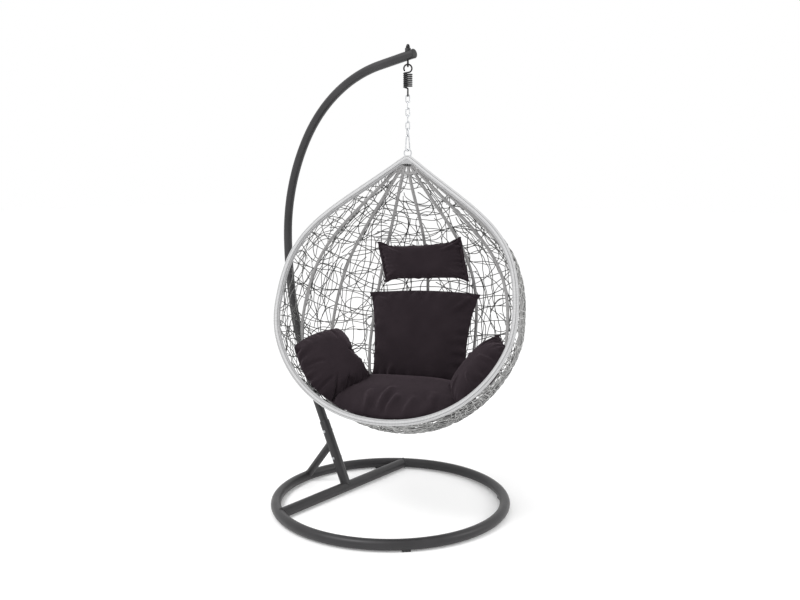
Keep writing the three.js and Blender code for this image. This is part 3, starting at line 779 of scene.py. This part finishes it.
def beside_rim(line, out, back):
    """The rim's line moved away from its middle and towards the back."""
    middle = basket_point(0.0, 0.0, 0.62)
    away = line - middle
    away -= np.outer(away @ BACK_WAY, BACK_WAY)
    away /= np.linalg.norm(away, axis=1)[:, None]
    return line + away * out + BACK_WAY * back


def build_rim():
    """The wound hoop, with the finer wound cords that bind the weave to it."""
    line = rim_line()
    def section(angle, index):
        ridge = np.abs(np.sin(angle * RIM_GROOVES / 2)) ** 0.5
        turns = 0.018 * np.cos(index * 2 * math.pi * RIM_STEP / RIM_TURN + angle)
        return 0.86 + 0.14 * ridge - turns

    hoop = Shape().sweep(row(line), RIM_TUBE, 40, closed=True, section=section)
    put("wound_hoop", hoop, RIM_LOOK, "wicker_frame", "basket", "rim_hoop")
    cords = Shape()
    for out, back, radius in ((0.0040, 0.0150, 0.0045), (-0.0075, 0.0130, 0.0040), (-0.0122, 0.0050, 0.0024)):
        cords.sweep(row(even(beside_rim(line, out, back), 0.006, closed=True)), radius, 10, closed=True)
    put("rim_cords", cords, CORD_LOOK, "wicker_frame", "basket")


def build_ribs():
    samples = np.linspace(0.42, SAMPLES - 0.5, 170)
    for i in range(1, RIB_COUNT + 1):
        angle = math.pi * i / (RIB_COUNT + 1)
        line = row(off_shell(samples, np.full(170, angle), np.full(170, -RIB_INSET)))
        turns = lambda angle, index: 1 + 0.03 * np.sin(index * 2.4 + angle)
        rib = Shape().sweep(even(line, 0.0025), RIB_TUBE, 14, section=turns)
        put(f"wound_rib_{i}", rib, RIB_LOOK, "wicker_frame", "basket", f"rib_{i}")
    for name, sample in (("crown_band", 0.82), ("foot_band", SAMPLES - 0.82)):
        angles = np.linspace(0, math.pi, 60)
        line = row(off_shell(np.full(60, sample), angles, np.full(60, -RIB_INSET)))
        band = Shape().sweep(even(line, 0.004), RIB_TUBE, 14)
        put(f"wound_{name}", band, RIB_LOOK, "wicker_frame", "basket", name)


LASHING_TURNS = 8
LASHING_TOP, LASHING_STEP = 0.014, 0.0031  # below the apex, and from turn to turn
LASHING_REACH = 0.72  # as a share of the hoop's half width


def build_crown_lashing():
    """Turns of cord that web the hoop's two arms together over the ribs' heads, just under the apex."""
    lashing = Shape()
    for i in range(LASHING_TURNS):
        down = LASHING_TOP + LASHING_STEP * i
        reach = float(rim_outline(down / 0.055)[0]) * LASHING_REACH
        front, behind = 0.0085, 0.010 + 0.35 * down
        corners = []
        for angle in np.linspace(0, 2 * math.pi, 40, endpoint=False):
            depth = front if math.sin(angle) < 0 else behind
            across = reach * np.sign(math.cos(angle)) * abs(math.cos(angle)) ** 0.8
            sag = 0.004 * (1 - math.cos(angle) ** 2)
            back = depth * np.sign(math.sin(angle)) * abs(math.sin(angle)) ** 0.7
            corners.append(basket_point(across, back, down - sag))
        lashing.sweep(row(np.array(corners)), 0.0019, 8, closed=True)
    put("crown_lashing", lashing, CORD_LOOK, "wicker_frame", "basket")


# ---- weave ----

STRAND = 0.0017
WEAVE_STEP = 0.010
HOOPS, MERIDIANS, ARCS = 40, 38, 270
ARC_TRIES = 8  # places tried for each arc; the emptiest is taken
COVER_COLUMNS = 28


def strand_tone_and_painted_shade(normals, shade):
    """A strand's random shade, with painted shade over it: light outside the shell and dim on the side that
    faces the seat, as if that side lay in shade.
    """
    def tone(out):
        facing = np.einsum("ijk,ik->ij", out, normals)
        # Painted shade: share is low on the side facing the seat, which is painted dim, and high outside,
        # which is painted light.
        share = np.clip((facing + 0.7) / 1.5, 0, 1)
        return (0.05 + 0.50 * share ** 1.6) * shade
    return tone


def lay(weave, samples, angles, dice):
    """One strand through the shell, going in and out past the others."""
    points = shell_point(samples, angles)
    along = lengths_along(points)
    wave = np.sin(along * 2 * math.pi / dice.uniform(0.055, 0.095) + dice.uniform(0, 6.3))
    normals = shell_normal(samples, angles)
    line = points + normals * (0.0030 + 0.0026 * wave)[:, None]
    turned = row(normals) - row(np.zeros(3))
    radius = STRAND * dice.uniform(0.88, 1.14)
    # The strand's tone carries painted shade on its side that faces the seat.
    weave.sweep(row(line), radius, 6, tone=strand_tone_and_painted_shade(turned, dice.uniform(0.8, 1.2)))


def wander(dice, sample, angle, length, way, curl):
    """A path over the shell that turns steadily, with a slow change in how much."""
    samples, angles = [sample], [angle]
    beat, phase = dice.uniform(0.15, 0.4), dice.uniform(0, 6.3)
    for i in range(int(length / WEAVE_STEP)):
        here = shell_point(sample, angle)
        down = np.linalg.norm(shell_point(sample + 0.05, angle) - here) / 0.05
        across = np.linalg.norm(shell_point(sample, angle + 0.01) - here) / 0.01
        way += (curl + 2.0 * math.sin(i * WEAVE_STEP / beat * 6.3 + phase)) * WEAVE_STEP
        sample += math.sin(way) * WEAVE_STEP / max(down, 1e-3)
        angle += math.cos(way) * WEAVE_STEP / max(across, 0.02)
        if not (0.75 < sample < SAMPLES - 0.3 and 0.0 < angle < math.pi):
            break
        samples.append(sample)
        angles.append(angle)
    return np.array(samples), np.array(angles)


def even_on_shell(samples, angles):
    """The same path with its points a step apart."""
    points = shell_point(samples, angles)
    lengths = lengths_along(points)
    at = np.linspace(0, lengths[-1], max(3, int(lengths[-1] / WEAVE_STEP)))
    return np.interp(at, lengths, samples), np.interp(at, lengths, angles)


def crowding(cover, samples, angles):
    """How full the cells that a path crosses already are, for their size."""
    rows = np.clip(samples.astype(int), 0, SAMPLES - 1)
    columns = np.clip((angles / math.pi * COVER_COLUMNS).astype(int), 0, COVER_COLUMNS - 1)
    room = np.maximum(rim_outline(rows + 0.5)[0] + back_outline(rows + 0.5)[0], 0.05)
    return rows, columns, float(np.mean(cover[rows, columns] / room))


def waviness(dice, low, high, beats, along):
    """Slow waves of those beats, each with its own size and start."""
    return sum(dice.uniform(low, high) * np.sin(f * along + dice.uniform(0, 6.3)) for f in beats)


def build_weave():
    """The open nest of strands: rough hoops, rough meridians, slants, and loose arcs laid over them."""
    dice = random.Random(11)
    weave = Shape()
    cover = np.zeros((SAMPLES, COVER_COLUMNS))
    for i in range(HOOPS):
        angles = np.linspace(0, math.pi, 240)
        middle = 1.1 + 17.9 * (i + dice.uniform(-0.35, 0.35)) / (HOOPS - 1)
        drift = dice.uniform(-0.5, 0.5) * (angles / math.pi - 0.5)
        waves = waviness(dice, 0.06, 0.20, (1.7, 4.1, 7.3), angles)
        samples = np.clip(middle + drift + waves, 0.8, SAMPLES - 0.35)
        lay(weave, *even_on_shell(samples, angles), dice)
    for i in range(MERIDIANS):
        samples = np.linspace(1.2 + dice.uniform(0, 4), SAMPLES - 0.35, 240)
        middle = math.pi * (i + 0.5 + dice.uniform(-0.3, 0.3)) / MERIDIANS
        slant = dice.choice((0, 0, 1, -1)) * dice.uniform(0.4, 1.3) * (samples / SAMPLES - 0.5)
        waves = waviness(dice, 0.012, 0.045, (0.4, 0.8, 1.5), samples)
        angles = np.clip(middle + slant + waves, 0.0, math.pi)
        lay(weave, *even_on_shell(samples, angles), dice)
    for _ in range(ARCS):
        curl = dice.choice((-1, 1)) * dice.choice((1.5, 5.0, 9.0, 14.0))
        length = dice.uniform(0.22, 0.60)
        tries = []
        for _ in range(ARC_TRIES):
            start = (dice.uniform(1.2, 19.2), dice.uniform(0.05, math.pi - 0.05))
            path = wander(dice, *start, length, dice.uniform(0, 6.3), curl)
            if len(path[0]) > 8:
                rows, columns, full = crowding(cover, *path)
                tries.append((full, len(tries), path, rows, columns))
        if tries:
            _, _, path, rows, columns = min(tries)
            np.add.at(cover, (rows, columns), 1)
            lay(weave, *path, dice)
    panels = [f"woven_panel_{i}" for i in range(1, RIB_COUNT + 2)]
    put("weave", weave, WICKER_LOOK, "wicker", "basket", *panels)


# ---- cushions ----
# Corners are given in the basket's frame but with X to the right of someone facing the seat.

CUSHION_GRID = (76, 60)
START_SHARE = 0.90  # of a cushion's thickness, before it is blown up
PRESSURE, PUFF_FRAMES, PUFF_CAP = 9.0, 20, 0.014
SEAM_CORD = 0.0016


def facing_viewer(points):
    return np.asarray(points, float) * [-1, 1, 1]


class Cushion:
    """A pillow between four corners: two faces sewn along one edge, thickest in the middle."""

    def __init__(self, name, corners, thick, out, bows):
        self.name, self.thick, self.bows = name, thick, bows
        self.corners = facing_viewer(corners)  # top left, top right, bottom right, bottom left
        self.out = unit(facing_viewer(out))

    def place(self, u, v):
        """The seam surface at u across and v up, both from -1 to 1."""
        top_left, top_right, low_right, low_left = self.corners
        across, up = (u[..., None] + 1) / 2, (v[..., None] + 1) / 2
        low_edge = low_left * (1 - across) + low_right * across
        top_edge = top_left * (1 - across) + top_right * across
        flat = low_edge * (1 - up) + top_edge * up
        right = unit(top_right - top_left + low_right - low_left)
        rise = unit(top_left - low_left + top_right - low_right)
        top, side_right, low, side_left = self.bows
        hold_u, hold_v = 1 - u ** 2, 1 - v ** 2
        lift = hold_u * (np.where(v > 0, top, -low) * np.abs(v) ** 2)
        push = hold_v * (np.where(u > 0, side_right, -side_left) * np.abs(u) ** 2)
        return flat + rise * lift[..., None] + right * push[..., None]

    def surface(self, u, v, side, share):
        full = (np.clip(1 - np.abs(u) ** 3.2, 0, 1) * np.clip(1 - np.abs(v) ** 3.2, 0, 1)) ** 0.62
        return self.place(u, v) + self.out * (side * full * self.thick / 2 * share)[..., None]

    def mesh(self, share):
        """Both faces as one closed grid, sharing their edge."""
        columns, rows = CUSHION_GRID
        quarter = math.pi / 2 * 0.86  # rows and columns draw closer together towards the seam
        ease = lambda count: np.sin(np.linspace(-1, 1, count) * quarter) / math.sin(quarter)
        u, v = np.meshgrid(ease(columns), ease(rows))
        front = row(self.surface(u, v, 1, share)).reshape(-1, 3)
        behind = row(self.surface(u, v, -1, share)).reshape(-1, 3)
        size = columns * rows
        index = np.arange(size).reshape(rows, columns)
        inner = np.zeros((rows, columns), bool)
        inner[1:-1, 1:-1] = True
        other = index.copy()
        other[inner] = size + np.arange(inner.sum())
        points = np.vstack([front, behind[inner.reshape(-1)]])
        shape = Shape()
        shape.points = points.tolist()
        width = np.linalg.norm(self.corners[1] - self.corners[0]) / 2
        height = np.linalg.norm(self.corners[0] - self.corners[3]) / 2
        for grid, flip in ((index, False), (other, True)):
            for r in range(rows - 1):
                for c in range(columns - 1):
                    corner = [(r, c), (r, c + 1), (r + 1, c + 1), (r + 1, c)]
                    if flip:
                        corner.reverse()
                    shape.faces.append(tuple(int(grid[k]) for k in corner))
                    shape.uvs.extend((u[k] * width, v[k] * height) for k in corner)
        self.u = np.concatenate([u.reshape(-1), u[inner]])
        self.v = np.concatenate([v.reshape(-1), v[inner]])
        self.side = np.concatenate([np.where(inner.reshape(-1), 1.0, 0.0), np.full(inner.sum(), -1.0)])
        rim = [(0, c) for c in range(columns)] + [(r, columns - 1) for r in range(1, rows)]
        rim += [(rows - 1, c) for c in reversed(range(columns - 1))]
        rim += [(r, 0) for r in reversed(range(1, rows - 1))]
        self.seam = [int(index[k]) for k in rim]
        return shape


def vectors_of(source, name):
    values = np.empty(len(source) * 3)
    source.foreach_get(name, values)
    return values.reshape(-1, 3)


def coordinates(piece):
    return vectors_of(piece.data.vertices, "co")


def normals_of(piece):
    return vectors_of(piece.data.vertex_normals, "vector")


def move_to(piece, points):
    piece.data.vertices.foreach_set("co", np.asarray(points).reshape(-1))
    piece.data.update()


def inflate(piece, pressure, frames, cap):
    """Blows the piece up as cloth and keeps the result, with no point moved further than the cap."""
    before = coordinates(piece)
    cloth = piece.modifiers.new("puff", "CLOTH")
    settings = cloth.settings
    settings.quality = 5
    settings.mass = 0.25
    settings.tension_stiffness = settings.compression_stiffness = 18
    settings.shear_stiffness = 6
    settings.bending_stiffness = 0.02
    settings.shrink_min = -0.06  # the cover is a little too large for its filling, so it creases
    settings.use_pressure = True
    settings.uniform_pressure_force = pressure
    settings.effector_weights.gravity = 0
    cloth.point_cache.frame_start = 1
    cloth.point_cache.frame_end = frames
    for number in range(1, frames + 1):
        bpy.context.scene.frame_set(number)
    blown = piece.evaluated_get(bpy.context.evaluated_depsgraph_get())
    after = np.array([vertex.co[:] for vertex in blown.data.vertices])
    piece.modifiers.remove(cloth)
    bpy.context.scene.frame_set(1)
    moved = after - before
    length = np.maximum(np.linalg.norm(moved, axis=1), 1e-9)
    return before + moved * np.minimum(1, cap / length)[:, None]


def settle_corners(cushion, before, after):
    """Puts the four corners back where they belong, and eases everything between them."""
    corner_error = {}
    for su in (-1, 1):
        for sv in (-1, 1):
            at = np.argmin((cushion.u - su) ** 2 + (cushion.v - sv) ** 2)
            corner_error[su, sv] = before[at] - after[at]
    result = after.copy()
    for (su, sv), error in corner_error.items():
        weight = (1 + su * cushion.u) / 2 * (1 + sv * cushion.v) / 2
        result += weight[:, None] * error
    return result


def crease(cushion, points, normals, lines):
    """Presses soft folds into the front: each line is (u, v) to (u, v), with a depth and a width."""
    result = points.copy()
    for (u0, v0), (u1, v1), depth, width in lines:
        way = np.array([u1 - u0, v1 - v0])
        length = np.linalg.norm(way)
        way /= length
        du, dv = cushion.u - u0, cushion.v - v0
        along = (du * way[0] + dv * way[1]) / length
        bend = 0.016 * np.sin(along * 5.1 + depth * 900)
        beside = -du * way[1] + dv * way[0] + bend
        fade = np.clip(np.sin(np.clip(along, 0, 1) * math.pi), 0, 1) ** 0.7
        press = np.exp(-(beside / width) ** 2) - 0.2 * np.exp(-((beside - 2.0 * width) / (1.3 * width)) ** 2)
        result -= normals * (depth * press * fade * (cushion.side >= 0))[:, None]
    return result


PUCKER = 0.0085  # height of the ripples along a seam


def pucker(cushion, points, normals, dice):
    """Small ripples that run in from the seam, where the cover is gathered."""
    result = points.copy()
    u, v = cushion.u, cushion.v
    for edge, along in ((u, v), (-u, v), (v, u), (-v, u)):
        away = np.clip(1 - edge, 0, None)
        ripple = sum(np.sin(dice.uniform(9, 34) * along + dice.uniform(0, 6.3)) for _ in range(4)) / 4
        reach = dice.uniform(0.16, 0.26)
        hold = np.exp(-(away / reach) ** 2) * (1 - np.exp(-(away / 0.04) ** 2))
        result += normals * (PUCKER * ripple * hold)[:, None]
    return result


def keep_inside(points, skin, gap):
    """Moves points that have gone through a skin back to its inner side."""
    result = points.copy()
    for i, point in enumerate(points):
        near, normal, _, _ = skin.find_nearest(Vector(point))
        beyond = (Vector(point) - near).dot(normal) + gap
        if beyond > 0:
            result[i] = np.array(Vector(point) - normal * beyond)
    return result


REST_DEPTH = 0.06  # cushions that rest on each other share no more than this


def is_inside(point, skin):
    """A point is inside a closed skin when a ray from it goes out through an odd number of faces."""
    up = Vector((0, 0, 1))
    crossings = 0
    hit = skin.ray_cast(point, up)[0]
    while hit is not None:
        crossings += 1
        hit = skin.ray_cast(hit + up * 1e-5, up)[0]
    return crossings % 2 == 1


def keep_outside(points, skin, gap):
    """Moves points that are inside another cushion out to its cover."""
    result = points.copy()
    for i, point in enumerate(points):
        near, normal, _, _ = skin.find_nearest(Vector(point), REST_DEPTH)
        if near is not None and is_inside(Vector(point), skin):
            result[i] = np.array(near + normal * gap)
    return result


def tree_of(piece):
    mesh = piece.data
    return BVHTree.FromPolygons([v.co[:] for v in mesh.vertices], [p.vertices[:] for p in mesh.polygons])


SKIN_GRID = 60


def shell_skin():
    """The inner side of the ribs as a surface whose faces look outwards."""
    size = SKIN_GRID
    ways = np.linspace(0.8, SAMPLES - 0.3, size), np.linspace(0, math.pi, size)
    samples, angles = np.meshgrid(*ways, indexing="ij")
    points = row(off_shell(samples, angles, np.full(samples.shape, -(RIB_INSET + RIB_TUBE + 0.003))))
    flat = points.reshape(-1, 3)
    faces = []
    for r in range(size - 1):
        for c in range(size - 1):
            a, b = r * size + c, r * size + c + 1
            faces.append((a, b, b + size, a + size))
    middle = np.array([0, HANG_Y, 0.85])
    a, b, c = (flat[faces[len(faces) // 2][k]] for k in (0, 1, 2))
    if np.dot(np.cross(b - a, c - b), a - middle) < 0:
        faces = [tuple(reversed(face)) for face in faces]
    return BVHTree.FromPolygons(flat.tolist(), faces)


CUSHIONS = (
    Cushion("back_cushion",
            ((-0.222, -0.13, 0.925), (0.282, -0.125, 0.94), (0.25, -0.035, 0.56), (-0.19, -0.035, 0.55)),
            0.135, (-0.03, 0.94, 0.34), (0.014, -0.018, 0.0, -0.014)),
    Cushion("seat_cushion",
            ((-0.3, -0.06, 0.545), (0.28, -0.06, 0.555), (0.335, 0.245, 0.52), (-0.33, 0.235, 0.488)),
            0.180, (0, 0.2, 1), (0.0, 0.012, 0.088, 0.012)),
    Cushion("head_pillow",
            ((-0.19, -0.13, 1.15), (0.193, -0.13, 1.182), (0.24, -0.1, 1.0), (-0.142, -0.1, 0.985)),
            0.115, (0, 0.97, 0.2), (-0.012, -0.008, -0.002, -0.010)),
    Cushion("right_arm_cushion",
            ((-0.47, 0.15, 0.705), (-0.33, -0.02, 0.768), (-0.155, 0.055, 0.59), (-0.29, 0.292, 0.458)),
            0.165, (0.72, 0.2, 0.66), (0.022, 0.006, 0.006, 0.016)),
    Cushion("left_arm_cushion",
            ((0.395, -0.015, 0.79), (0.46, 0.115, 0.76), (0.325, 0.29, 0.535), (0.215, 0.1, 0.58)),
            0.155, (-0.72, 0.2, 0.66), (0.004, 0.010, 0.006, 0.010)),
)

# Each fold: from (u, v), to (u, v), depth, width.
FOLDS = {
    "back_cushion": [
        ((-0.1, 1.0), (-0.02, 0.72), 0.009, 0.035),
        ((-0.9, 0.9), (-0.5, 0.55), 0.009, 0.05),
        ((0.9, 0.9), (0.55, 0.5), 0.009, 0.05),
        ((-0.6, -1.0), (-0.45, -0.55), 0.009, 0.04),
    ],
    "seat_cushion": [
        ((-0.24, -1.0), (-0.26, -0.45), 0.021, 0.036),
        ((-0.04, -1.0), (-0.03, -0.3), 0.024, 0.036),
        ((0.07, -1.0), (0.09, -0.55), 0.018, 0.032),
        ((-0.62, -0.9), (-0.72, -0.2), 0.012, 0.035),
        ((0.6, -0.9), (0.5, -0.4), 0.011, 0.035),
        ((0.3, -1.0), (0.29, -0.6), 0.011, 0.024),
    ],
    "head_pillow": [
        ((-0.98, 0.9), (-0.45, 0.3), 0.009, 0.06),
        ((0.98, 0.9), (0.5, 0.35), 0.009, 0.06),
        ((0.98, -0.9), (0.55, -0.4), 0.009, 0.06),
        ((-0.98, -0.9), (-0.6, -0.45), 0.008, 0.06),
    ],
    "right_arm_cushion": [
        ((-0.95, -0.5), (-0.35, -0.35), 0.01, 0.035),
        ((-0.95, 0.3), (-0.4, 0.1), 0.009, 0.035),
        ((-0.6, -0.98), (-0.25, -0.35), 0.014, 0.035),
        ((0.4, 0.98), (0.25, 0.5), 0.009, 0.04),
        ((-0.1, -0.98), (0.1, -0.5), 0.012, 0.03),
    ],
    "left_arm_cushion": [
        ((0.95, 0.5), (0.35, 0.3), 0.01, 0.035),
        ((0.95, -0.3), (0.4, -0.2), 0.01, 0.035),
        ((-0.95, 0.2), (-0.4, 0.1), 0.009, 0.035),
        ((-0.3, 0.98), (-0.1, 0.5), 0.01, 0.04),
        ((0.2, -0.98), (0.0, -0.4), 0.012, 0.03),
    ],
}


def build_cushions():
    skin = shell_skin()
    neighbours = []
    dice = random.Random(5)
    for cushion in CUSHIONS:
        piece = make(cushion.name + "_cover", cushion.mesh(START_SHARE), FABRIC_LOOK)
        points = before = coordinates(piece)
        points = settle_corners(cushion, before, inflate(piece, PRESSURE, PUFF_FRAMES, PUFF_CAP))
        move_to(piece, points)
        points = crease(cushion, points, normals_of(piece), FOLDS[cushion.name])
        points = pucker(cushion, points, normals_of(piece), dice)
        for other in neighbours:
            points = keep_outside(points, other, 0.001)
        points = keep_inside(points, skin, 0.0)
        move_to(piece, points)
        neighbours.append(tree_of(piece))
        finer = piece.modifiers.new("finer", "SUBSURF")
        finer.levels = finer.render_levels = 1
        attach(piece, "basket")
        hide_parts(cushion.name)
        seam = Shape().sweep(points[cushion.seam], SEAM_CORD, 8, closed=True)
        edge = put(cushion.name + "_seam", seam, FABRIC_LOOK, "cushion", "basket")
        edge.data.name = edge.name


# ---- camera, floor and light ----

def build_view():
    camera = bpy.data.objects.new("camera", bpy.data.cameras.new("camera"))
    camera.location = (-3.021, -2.354, 1.458)
    camera.rotation_euler = (math.radians(90 - 8.08), 0, math.radians(-52.46))
    camera.data.sensor_width = 36
    camera.data.lens = 40.71
    bpy.context.scene.collection.objects.link(camera)
    bpy.context.scene.camera = camera


def build_floor():
    bpy.ops.mesh.primitive_plane_add(size=60, location=(0, 0, 0))
    floor = bpy.context.object
    floor.name = "floor"
    look = Look("floor_paint", Roughness=0.9, Specular_IOR_Level=0.1, Emission_Color=(1, 1, 1, 1),
                Emission_Strength=0.16)
    paint = look.ramp(look.noise(3, 2), (0.3, 0.86), (0.7, 0.88))
    floor.data.materials.append(look.finish(Base_Color=paint))


def area_light(name, place, target, size, power):
    light = bpy.data.objects.new(name, bpy.data.lights.new(name, "AREA"))
    light.data.shape = "DISK"
    light.data.size = size
    light.data.energy = power
    light.location = place
    light.rotation_euler = (Vector(target) - Vector(place)).to_track_quat("-Z", "Y").to_euler()
    bpy.context.scene.collection.objects.link(light)


def build_light():
    world = bpy.data.worlds.new("studio")
    world.use_nodes = True
    background = world.node_tree.nodes["Background"]
    background.inputs["Color"].default_value = (1, 1, 1, 1)
    background.inputs["Strength"].default_value = 1.0
    bpy.context.scene.world = world
    area_light("key", (-2.8, 0.6, 4.0), (0, 0, 0.8), 1.8, 90)
    area_light("fill", (1.6, -3.6, 2.4), (0, 0, 0.9), 1.6, 30)
    bpy.context.scene.view_settings.view_transform = "Standard"


build_view()
build_floor()
build_light()
build_stand()
for number in range(1, 5):
    polish(f"floor_glide_{number}", PLASTIC_LOOK, 0.0008)
polish("top_bush", PLASTIC_LOOK, 0.0008)
build_eye_bolt()
build_spring()
build_chain()
build_snap_hook()
build_hang_ring()
build_rim()
build_ribs()
build_crown_lashing()
build_weave()
build_cushions()
